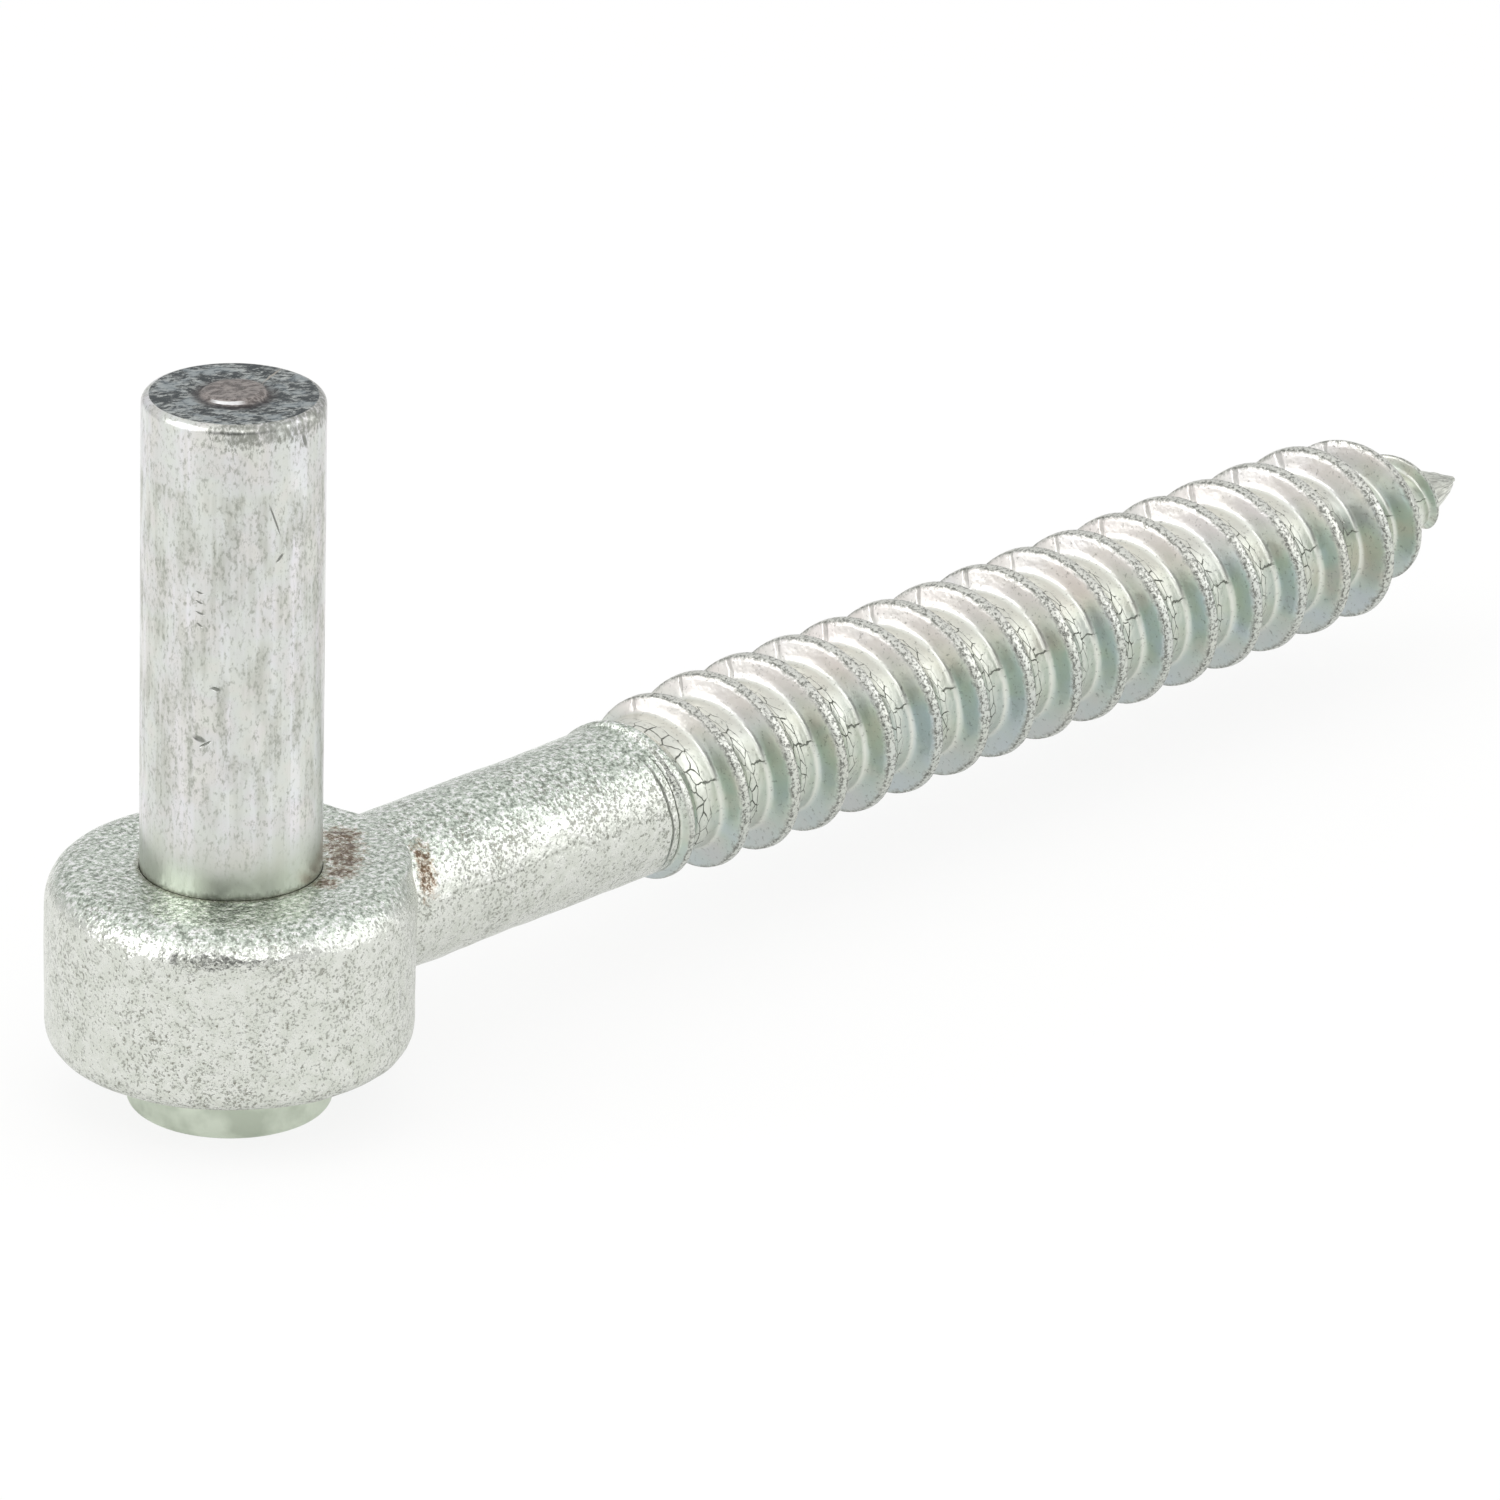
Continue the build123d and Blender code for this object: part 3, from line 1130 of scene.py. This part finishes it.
@dataclass
class RolledThread:
    """The coarse wood thread rolled on the shank, and its gimlet point."""

    shank_radius: float = 7.2
    shank_drop: float = 8.2
    root_radius: float = 6.5
    crest_radius: float = 8.85
    pitch: float = 6.33
    crest_phase: float = 53.15
    start: float = 46.2
    # The crest rises off the shank over run_in, the first groove starts at groove_start and
    # is fully deep after groove_step, and the first crest is smooth from skin_start on.
    run_in: tuple[float, float] = (42.5, 60.0)
    groove_start: float = 46.8
    groove_step: float = 2.6
    skin_start: float = 49.3
    crest_taper: float = 147.5
    root_taper: float = 140.2
    nose: float = 164.1
    crest_power: float = 0.876
    root_power: float = 0.6
    # The nose is thinner by this share, from the first to the second length before its end,
    # and is cut off at the third.
    nose_thinning: float = 0.09
    nose_stretch: tuple[float, float] = (7.0, 2.0)
    nose_cut: float = 0.03
    # The ridge's least share of its even width, and the skin's least radius.
    narrowest: float = 0.12
    thinnest: float = 0.02
    # How far round the groove's start the skin turns smooth, and over what length along the
    # first crest.
    groove_fade: tuple[float, float] = (-0.3, 0.7)
    skin_fade: float = 1.2
    # Where the smooth skin sets in across the crest, on the point's side and on the eye's.
    skin_edges: tuple[tuple[float, float], tuple[float, float]] = ((0.7, 1.3), (-1.8, -1.2))
    steps_per_turn: int = 108
    # The section across one turn, from the eye's side to the point's side, as millimetres
    # from the crest's middle and the share of the thread's depth.
    section: tuple[tuple[float, float], ...] = (
        (-2.4, 0.0),
        (-1.75, 0.0),
        (-1.45, 0.012),
        (-1.22, 0.06),
        (-1.05, 0.17),
        (-0.92, 0.34),
        (-0.8, 0.54),
        (-0.69, 0.73),
        (-0.6, 0.87),
        (-0.5, 0.935),
        (-0.3, 0.97),
        (0.0, 0.99),
        (0.3, 1.0),
        (0.42, 0.985),
        (0.55, 0.92),
        (0.85, 0.75),
        (1.25, 0.53),
        (1.65, 0.33),
        (2.0, 0.17),
        (2.35, 0.06),
        (2.7, 0.01),
    )
    # Where the root begins on the eye's side and on the point's side of the crest.
    feet: tuple[float, float] = (1.75, 2.7)

    def crest_at(self, x: float) -> float:
        """Radius of the crest at the length x."""
        if x > self.crest_taper:
            share = max((self.nose - x) / (self.nose - self.crest_taper), 0.0)
            return self.crest_radius * share**self.crest_power
        rise = smooth_step(x, *self.run_in)
        return self.shank_radius + (self.crest_radius - self.shank_radius) * rise

    def root_at(self, x: float, strip_x: float) -> float:
        """Radius of the root at the length x, in the turn whose crest passes strip_x."""
        step = smooth_step(strip_x, self.groove_start, self.groove_start + self.groove_step)
        radius = self.shank_radius + (self.root_radius - self.shank_radius) * step
        if x > self.root_taper:
            share = max((self.nose - x) / (self.nose - self.root_taper), 0.0)
            radius = min(radius, self.root_radius * share**self.root_power)
            start, end = (self.nose - length for length in self.nose_stretch)
            radius *= 1 - self.nose_thinning * smooth_step(x, start, end)
        return radius

    def skin_share(self, crest_x: float, off: float) -> float:
        """How far the rolling dies smoothed the skin at a point, from 0 to 1.

        Args:
            crest_x: Where the point's crest passes its side of the shank.
            off: How far the point is from the crest's middle.

        Returns:
            0 on blasted skin and 1 on rolled skin.
        """
        crest_formed = smooth_step(crest_x, self.skin_start, self.skin_start + self.skin_fade)
        strip_x = crest_x if off > 0 else crest_x - self.pitch
        grooved = smooth_step(strip_x, *(self.groove_start + fade for fade in self.groove_fade))
        point_side, eye_side = self.skin_edges
        if off > 0:
            return grooved * max(crest_formed, smooth_step(off, *point_side))
        return max(grooved, crest_formed * smooth_step(off, *eye_side))

    def build(self) -> bmesh.types.BMesh:
        """Spin the section along the helix, then give it its run-in, its taper and its nose.

        Returns:
            The thread in millimetres, open where the shank comes in.
        """
        bm = bmesh.new()
        depth = self.crest_radius - self.root_radius
        first_turn = math.floor((self.start - self.crest_phase) / self.pitch) - 1
        turns = math.ceil((self.nose - self.crest_phase) / self.pitch) + 1 - first_turn
        first_x = self.crest_phase + first_turn * self.pitch
        corners = [(-self.pitch / 2, 0.0), *self.section, (self.pitch / 2, 0.0)]
        section = [bm.verts.new((first_x + s, self.root_radius + h * depth, 0)) for s, h in corners]
        for one, other in zip(section, section[1:]):
            bm.edges.new((one, other))
        bmesh.ops.spin(
            bm,
            geom=bm.verts[:] + bm.edges[:],
            axis=(1, 0, 0),
            dvec=(self.pitch / self.steps_per_turn, 0, 0),
            angle=TAU,
            steps=self.steps_per_turn,
            use_merge=False,
        )
        one_turn = bm.verts[:] + bm.edges[:] + bm.faces[:]
        for i in range(1, turns):
            copied = bmesh.ops.duplicate(bm, geom=one_turn)["geom"]
            points = [g for g in copied if isinstance(g, bmesh.types.BMVert)]
            bmesh.ops.translate(bm, vec=(self.pitch * i, 0, 0), verts=points)
        bmesh.ops.remove_doubles(bm, verts=bm.verts, dist=WELD)
        self.lay_helix_map(bm)
        self.shape(bm, depth)
        nose_end = self.nose - self.nose_cut
        for cut, clear in ((self.start, "clear_inner"), (nose_end, "clear_outer")):
            made = bmesh.ops.bisect_plane(
                bm,
                geom=bm.verts[:] + bm.edges[:] + bm.faces[:],
                plane_co=(cut, 0, 0),
                plane_no=(1, 0, 0),
                **{clear: True},
            )
        rim = [e for e in made["geom_cut"] if isinstance(e, bmesh.types.BMEdge)]
        bmesh.ops.contextual_create(bm, geom=rim)
        bmesh.ops.translate(bm, vec=(0, 0, -self.shank_drop), verts=bm.verts)
        return bm

    def helix_place(self, x: float, angle: float) -> tuple[float, float]:
        """Which turn of the helix a point is on, and how far it is from the crest's middle."""
        turns = (x - self.crest_phase) / self.pitch
        turn = round(turns - angle / TAU) + angle / TAU
        return turn, (turns - turn) * self.pitch

    def lay_helix_map(self, bm: bmesh.types.BMesh) -> None:
        """Lay a UV map along the helix: u along the thread and v across it, in millimetres."""
        layer = bm.loops.layers.uv.new("helix")
        for face in bm.faces:
            middle = face.calc_center_median()
            turn, _ = self.helix_place(middle.x, math.atan2(middle.z, middle.y))
            for loop in face.loops:
                place = loop.vert.co
                turned = math.atan2(place.z, place.y)
                around = turned - TAU * round((turned - TAU * turn) / TAU)
                across = place.x - self.crest_phase - self.pitch * around / TAU
                loop[layer].uv = (around * self.root_radius, across)

    def shape(self, bm: bmesh.types.BMesh, depth: float) -> None:
        """Move the even thread's points to the run-in and the taper, and mark its skin.

        Args:
            bm: The spun thread.
            depth: Its even depth.
        """
        rolled = bm.verts.layers.float.new("rolled")
        for v in bm.verts:
            angle = math.atan2(v.co.z, v.co.y)
            turn, off = self.helix_place(v.co.x, angle)
            height = (math.hypot(v.co.y, v.co.z) - self.root_radius) / depth
            crest_x = v.co.x - off
            strip_x = crest_x if off > 0 else crest_x - self.pitch
            crest = self.crest_at(crest_x if crest_x < self.crest_taper else v.co.x)
            root = self.root_at(v.co.x, strip_x)
            rise = max(crest - root, 0.0)
            narrow = max(min(rise / depth, 1.0), self.narrowest)
            if crest_x < self.run_in[1]:
                narrow = (1 + narrow) / 2
            foot = self.feet[0] if off < 0 else self.feet[1]
            size = abs(off)
            if size < foot:
                size *= narrow
            else:
                # The root beside a narrower ridge widens to fill the turn.
                room = self.pitch / 2 - foot * narrow
                size = foot * narrow + (size - foot) * room / (self.pitch / 2 - foot)
            x = crest_x + math.copysign(size, off)
            # The moved point takes its radius from where it now stands.
            root = self.root_at(x, strip_x)
            crest = self.crest_at(crest_x if crest_x < self.crest_taper else x)
            radius = max(root + max(crest - root, 0.0) * height, self.thinnest)
            v.co = (x, radius * math.cos(angle), radius * math.sin(angle))
            v[rolled] = self.skin_share(crest_x, off)


@dataclass
class EyeScrew:
    """The forging and its thread as one closed skin."""

    blank: ForgedBlank = field(default_factory=ForgedBlank)
    thread: RolledThread = field(default_factory=RolledThread)
    name: str = "eye_screw_forging"
    # How far the blasted forging strays from the even shape, in mm, by noises each with a
    # scale and a weight. From calm on, the thread strays by a share of it.
    waviness: float = 0.1
    swells: tuple[tuple[float, float], ...] = ((0.11, 1.2), (0.45, 0.5))
    calm: tuple[float, float] = (44.0, 52.0)
    calm_share: float = 0.25
    # The skin within this distance of the bore stays where it is.
    bore_rim: float = 0.1

    def build(self) -> bpy.types.Object:
        """Join the blank and the thread and let the forging's skin stray a little."""
        blank = self.blank.build()
        thread = self.thread.build()
        scratch = bpy.data.meshes.new("thread")
        thread.to_mesh(scratch)
        thread.free()
        blank.from_mesh(scratch)
        open_edges = [e for e in blank.edges if e.is_boundary]
        LOG.info("open edges to bridge: %d", len(open_edges))
        bmesh.ops.bridge_loops(blank, edges=open_edges)
        bmesh.ops.recalc_face_normals(blank, faces=blank.faces)
        blank.normal_update()
        corner = blank.verts.layers.float.new("corner")
        moves = []
        for v in blank.verts:
            v[corner] = self.blank.corner_stain(v.co)
            soft = 1 - smooth_step(v.co.x, *self.calm)
            swell = sum(noise.noise(v.co * scale) * weight for scale, weight in self.swells)
            share = self.calm_share + (1 - self.calm_share) * soft
            moves.append(v.normal * (swell * self.waviness * share))
        for v, move in zip(blank.verts, moves):
            if math.hypot(v.co.x, v.co.y) > self.blank.bore_radius + self.bore_rim:
                v.co += move
        piece = link_piece(remove_after(blank, self.name), self.name)
        piece.data.materials.append(ForgedAndRolledZinc().material())
        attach(piece, "root")
        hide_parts(Node.EYE_SCREW.value)
        return piece


@dataclass
class HingePin:
    """The upright pin: drawn bar, its parted end, and the upset head under the eye."""

    name: str = "upright_pin"
    radius: float = 8.0
    height: float = 44.0
    edge_round: float = 0.85
    eye_height: float = 17.0
    head_radius: float = 9.1
    head_height: float = 5.45
    head_round: float = 0.9
    segments: int = 160
    ring: float = 0.3
    pip_radius: float = 2.9
    pip_height: float = 0.42
    pip_lean: float = 0.03
    pip_edge: tuple[float, float] = (-0.35, 0.1)
    # The groove round the pip: its depth, its distance from the pip and its width.
    groove: tuple[float, float, float] = (0.16, 0.45, 0.35)
    # The torn end's noises, each with a scale and a height, the scale and the level at which
    # both are read, and how quiet the pip keeps them.
    tears: tuple[tuple[float, float], ...] = ((1.0, 0.07), (2.7, 0.06))
    tear_scale: float = 0.9
    tear_level: float = 3.1
    pip_quiet: float = 0.5
    # How far inside the rim the torn face dies out and ends.
    rim: tuple[float, float] = (1.6, 1.1)

    def end_height(self, x: float, y: float) -> float:
        """How far the parted end stands off its plane at a point, in millimetres."""
        off = math.hypot(x, y)
        fall = smooth_step(off, *(self.pip_radius + edge for edge in self.pip_edge))
        pip = self.pip_height * (1 - fall)
        lean = self.pip_lean * (x - y) * (off < self.pip_radius)
        deep, away, wide = self.groove
        groove = -deep * math.exp(-(((off - self.pip_radius - away) / wide) ** 2))
        place = Vector((x * self.tear_scale, y * self.tear_scale, self.tear_level))
        torn = sum(high * noise.noise(place * scale) for scale, high in self.tears)
        inside = 1 - smooth_step(off, *(self.radius - width for width in self.rim))
        quiet = self.pip_quiet if off < self.pip_radius else 1.0
        return (pip + lean + groove + torn * quiet) * inside

    def build(self) -> bpy.types.Object:
        """Spin the pin's section about its axis, round its rims and tear its end."""
        bm = bmesh.new()
        head_foot = -self.eye_height - self.head_height
        rings = math.floor((self.radius - self.edge_round) / self.ring)
        corners = [(i * self.ring, self.height) for i in range(rings)]
        corners += [
            (self.radius, self.height),
            (self.radius, -self.eye_height),
            (self.head_radius, -self.eye_height),
            (self.head_radius, head_foot),
            (0.0, head_foot),
        ]
        section = [bm.verts.new((r, 0, z)) for r, z in corners]
        for one, other in zip(section, section[1:]):
            bm.edges.new((one, other))
        bmesh.ops.spin(
            bm,
            geom=bm.verts[:] + bm.edges[:],
            axis=(0, 0, 1),
            angle=TAU,
            steps=self.segments,
            use_merge=True,
        )
        bmesh.ops.remove_doubles(bm, verts=bm.verts, dist=WELD)
        for level, size in ((self.height, self.edge_round), (head_foot, self.head_round)):
            outer = {
                v
                for v in bm.verts
                if abs(v.co.z - level) < LEVEL and v.co.xy.length > self.radius - 0.01
            }
            rim = [e for e in bm.edges if outer.issuperset(e.verts)]
            bmesh.ops.bevel(
                bm, geom=rim, offset=size, segments=8, profile=0.5, affect="EDGES", material=-1
            )
        bmesh.ops.recalc_face_normals(bm, faces=bm.faces)
        for face in bm.faces:
            middle = face.calc_center_median()
            if middle.z > self.height - 0.02:
                face.material_index = 1
            elif middle.z < -self.eye_height - 0.01:
                face.material_index = 2
        for v in bm.verts:
            if v.co.z > self.height - 0.01:
                v.co.z += self.end_height(v.co.x, v.co.y)
        piece = link_piece(remove_after(bm, self.name), self.name)
        for finish in (DrawnZinc(), ShearedEnd(), UpsetHeadZinc()):
            piece.data.materials.append(finish.material())
        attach(piece, "root")
        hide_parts(Node.HINGE_PIN.value)
        return piece


@dataclass(frozen=True)
class Lamp:
    """A soft square lamp: its place and its side in metres, and its power in watts."""

    name: str
    place: tuple[float, float, float]
    side: float
    watts: float


@dataclass
class Studio:
    """The pale floor, the soft lamps, the white surround and the camera."""

    floor_level: float = -22.45
    floor_half: float = 3.0
    azimuth: float = -46.7234
    elevation: float = 22.9108
    roll: float = 1.4767
    distance: float = 992.24
    focal_px: float = 11378.32
    frame_px: float = 1500.0
    aim: tuple[float, float] = (45.2652, 9.9675)
    # How much of the floor's look is plain white, to the eye and in the metal's reflections.
    floor_seen: float = 0.84
    floor_mirrored: float = 0.46
    # How bright the room is at eye level, on its walls and overhead, to the metal alone.
    room: tuple[float, float, float] = (0.62, 0.86, 1.05)
    # The dark stand behind the camera, as a direction, and how much light it takes away.
    stand: tuple[float, float, float] = (-0.71, -0.67, 0.15)
    stand_shade: float = 0.6
    # Where the room gets from eye level to its walls and from there overhead, as the sine of
    # the height, and how far off its direction the stand's shade begins and is full.
    walls_at: float = 0.4
    overhead_at: tuple[float, float] = (0.6, 0.95)
    stand_edge: tuple[float, float] = (0.6, 0.32)
    paper: str = "#f4f4f2"
    white: str = "#ffffff"
    sensor: float = 36.0
    clip: tuple[float, float] = (0.01, 50.0)
    # The lamps, and the place in metres that they face: the hook's middle.
    lamps: tuple[Lamp, ...] = (
        Lamp("lamp_left", (-0.95, 0.35, 0.6), 1.0, 5.5),
        Lamp("lamp_right", (0.8, -0.85, 0.5), 1.1, 3.2),
        Lamp("lamp_front", (-0.5, -0.9, 0.9), 0.7, 2.0),
    )
    middle: tuple[float, float, float] = (0.07, 0.0, 0.0)

    def camera(self) -> None:
        """Set the camera where the photograph was taken from."""
        a, e, roll = (math.radians(v) for v in (self.azimuth, self.elevation, self.roll))
        back = Vector((math.sin(a) * math.cos(e), -math.cos(a) * math.cos(e), math.sin(e)))
        right = Vector((math.cos(a), math.sin(a), 0))
        up = back.cross(right)
        right, up = (
            right * math.cos(roll) + up * math.sin(roll),
            up * math.cos(roll) - right * math.sin(roll),
        )
        data = bpy.data.cameras.new("camera")
        data.sensor_width = self.sensor
        data.lens = self.focal_px / self.frame_px * data.sensor_width
        data.clip_start, data.clip_end = self.clip
        camera = bpy.data.objects.new("camera", data)
        bpy.context.scene.collection.objects.link(camera)
        place = right * self.aim[0] + up * self.aim[1] + back * self.distance
        turn = Matrix((right, up, back)).transposed().to_4x4()
        camera.matrix_world = Matrix.Translation(place * MM) @ turn
        bpy.context.scene.camera = camera

    def floor(self) -> None:
        """Lay a pale floor that stays white to the eye and keeps the hook's shadow."""
        bm = bmesh.new()
        bmesh.ops.create_grid(bm, x_segments=1, y_segments=1, size=self.floor_half / MM)
        bmesh.ops.translate(bm, vec=(0, 0, self.floor_level), verts=bm.verts)
        floor = link_piece(remove_after(bm, "floor"), "floor")
        material = bpy.data.materials.new("white_paper_floor")
        material.use_nodes = True
        tree = material.node_tree
        tree.nodes.clear()
        paper = add_node(tree, "BsdfDiffuse", {"Color": linear(self.paper)})
        white = add_node(tree, "Emission", {"Color": linear(self.white), "Strength": 1.0})
        seen = add_node(tree, "LightPath", out="Is Camera Ray")
        mirrored = add_node(tree, "LightPath", out="Is Glossy Ray")
        share = add_node(tree, "Math", {0: seen, 1: self.floor_seen}, operation="MULTIPLY")
        share = add_node(
            tree,
            "Math",
            {0: mirrored, 1: self.floor_mirrored, 2: share},
            operation="MULTIPLY_ADD",
        )
        mixed = add_node(tree, "MixShader", {0: share, 1: paper, 2: white})
        add_node(tree, "OutputMaterial", {"Surface": mixed})
        floor.data.materials.append(material)

    def world(self) -> None:
        """Surround the hook with white to the eye, and a soft grey room to its metal."""
        world = bpy.data.worlds.new("studio")
        bpy.context.scene.world = world
        world.use_nodes = True
        tree = world.node_tree
        tree.nodes.clear()
        seen = add_node(tree, "LightPath", out="Is Camera Ray")
        facing = add_node(tree, "TexCoord", out="Generated")
        up = add_node(tree, "SeparateXYZ", {0: facing}, "Z")
        eye_level, walls, overhead = self.room
        low = add_node(
            tree,
            "MapRange",
            {"Value": up, "From Max": self.walls_at, "To Min": eye_level, "To Max": walls},
        )
        start, end = self.overhead_at
        high = add_node(
            tree,
            "MapRange",
            {"Value": up, "From Min": start, "From Max": end, "To Max": overhead - walls},
        )
        level = add_node(tree, "Math", {0: low, 1: high}, operation="ADD")
        near = add_node(
            tree, "VectorMath", {0: facing, 1: self.stand}, "Value", operation="DISTANCE"
        )
        start, end = self.stand_edge
        shaded = add_node(
            tree,
            "MapRange",
            {"Value": near, "From Min": start, "From Max": end, "To Max": self.stand_shade},
            interpolation_type="SMOOTHSTEP",
        )
        level = add_node(tree, "Math", {0: level, 1: shaded}, operation="SUBTRACT")
        strength = add_node(tree, "Mix", {0: seen, 2: level, 3: 1.0}, data_type="FLOAT")
        back = add_node(tree, "Background", {"Color": linear(self.white), "Strength": strength})
        add_node(tree, "OutputWorld", {"Surface": back})

    def hang(self, lamp: Lamp) -> None:
        """Hang a lamp so that it faces the hook's middle."""
        data = bpy.data.lights.new(lamp.name, "AREA")
        data.size = lamp.side
        data.energy = lamp.watts
        hung = bpy.data.objects.new(lamp.name, data)
        bpy.context.scene.collection.objects.link(hung)
        hung.location = lamp.place
        facing = Vector(lamp.place) - Vector(self.middle)
        hung.rotation_euler = facing.to_track_quat("Z", "Y").to_euler()

    def build(self) -> None:
        """Set up the camera, the floor, the surround and the lamps."""
        self.camera()
        self.floor()
        self.world()
        for lamp in self.lamps:
            self.hang(lamp)


def main() -> None:
    """Build the studio and the hook."""
    logging.basicConfig(level=logging.INFO, format="%(name)s %(message)s")
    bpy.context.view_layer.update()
    bpy.context.scene.view_settings.view_transform = "Standard"
    Studio().build()
    for piece in (EyeScrew().build(), HingePin().build()):
        LOG.info("%s: %d faces", piece.name, len(piece.data.polygons))


if __name__ == "__main__":
    main()
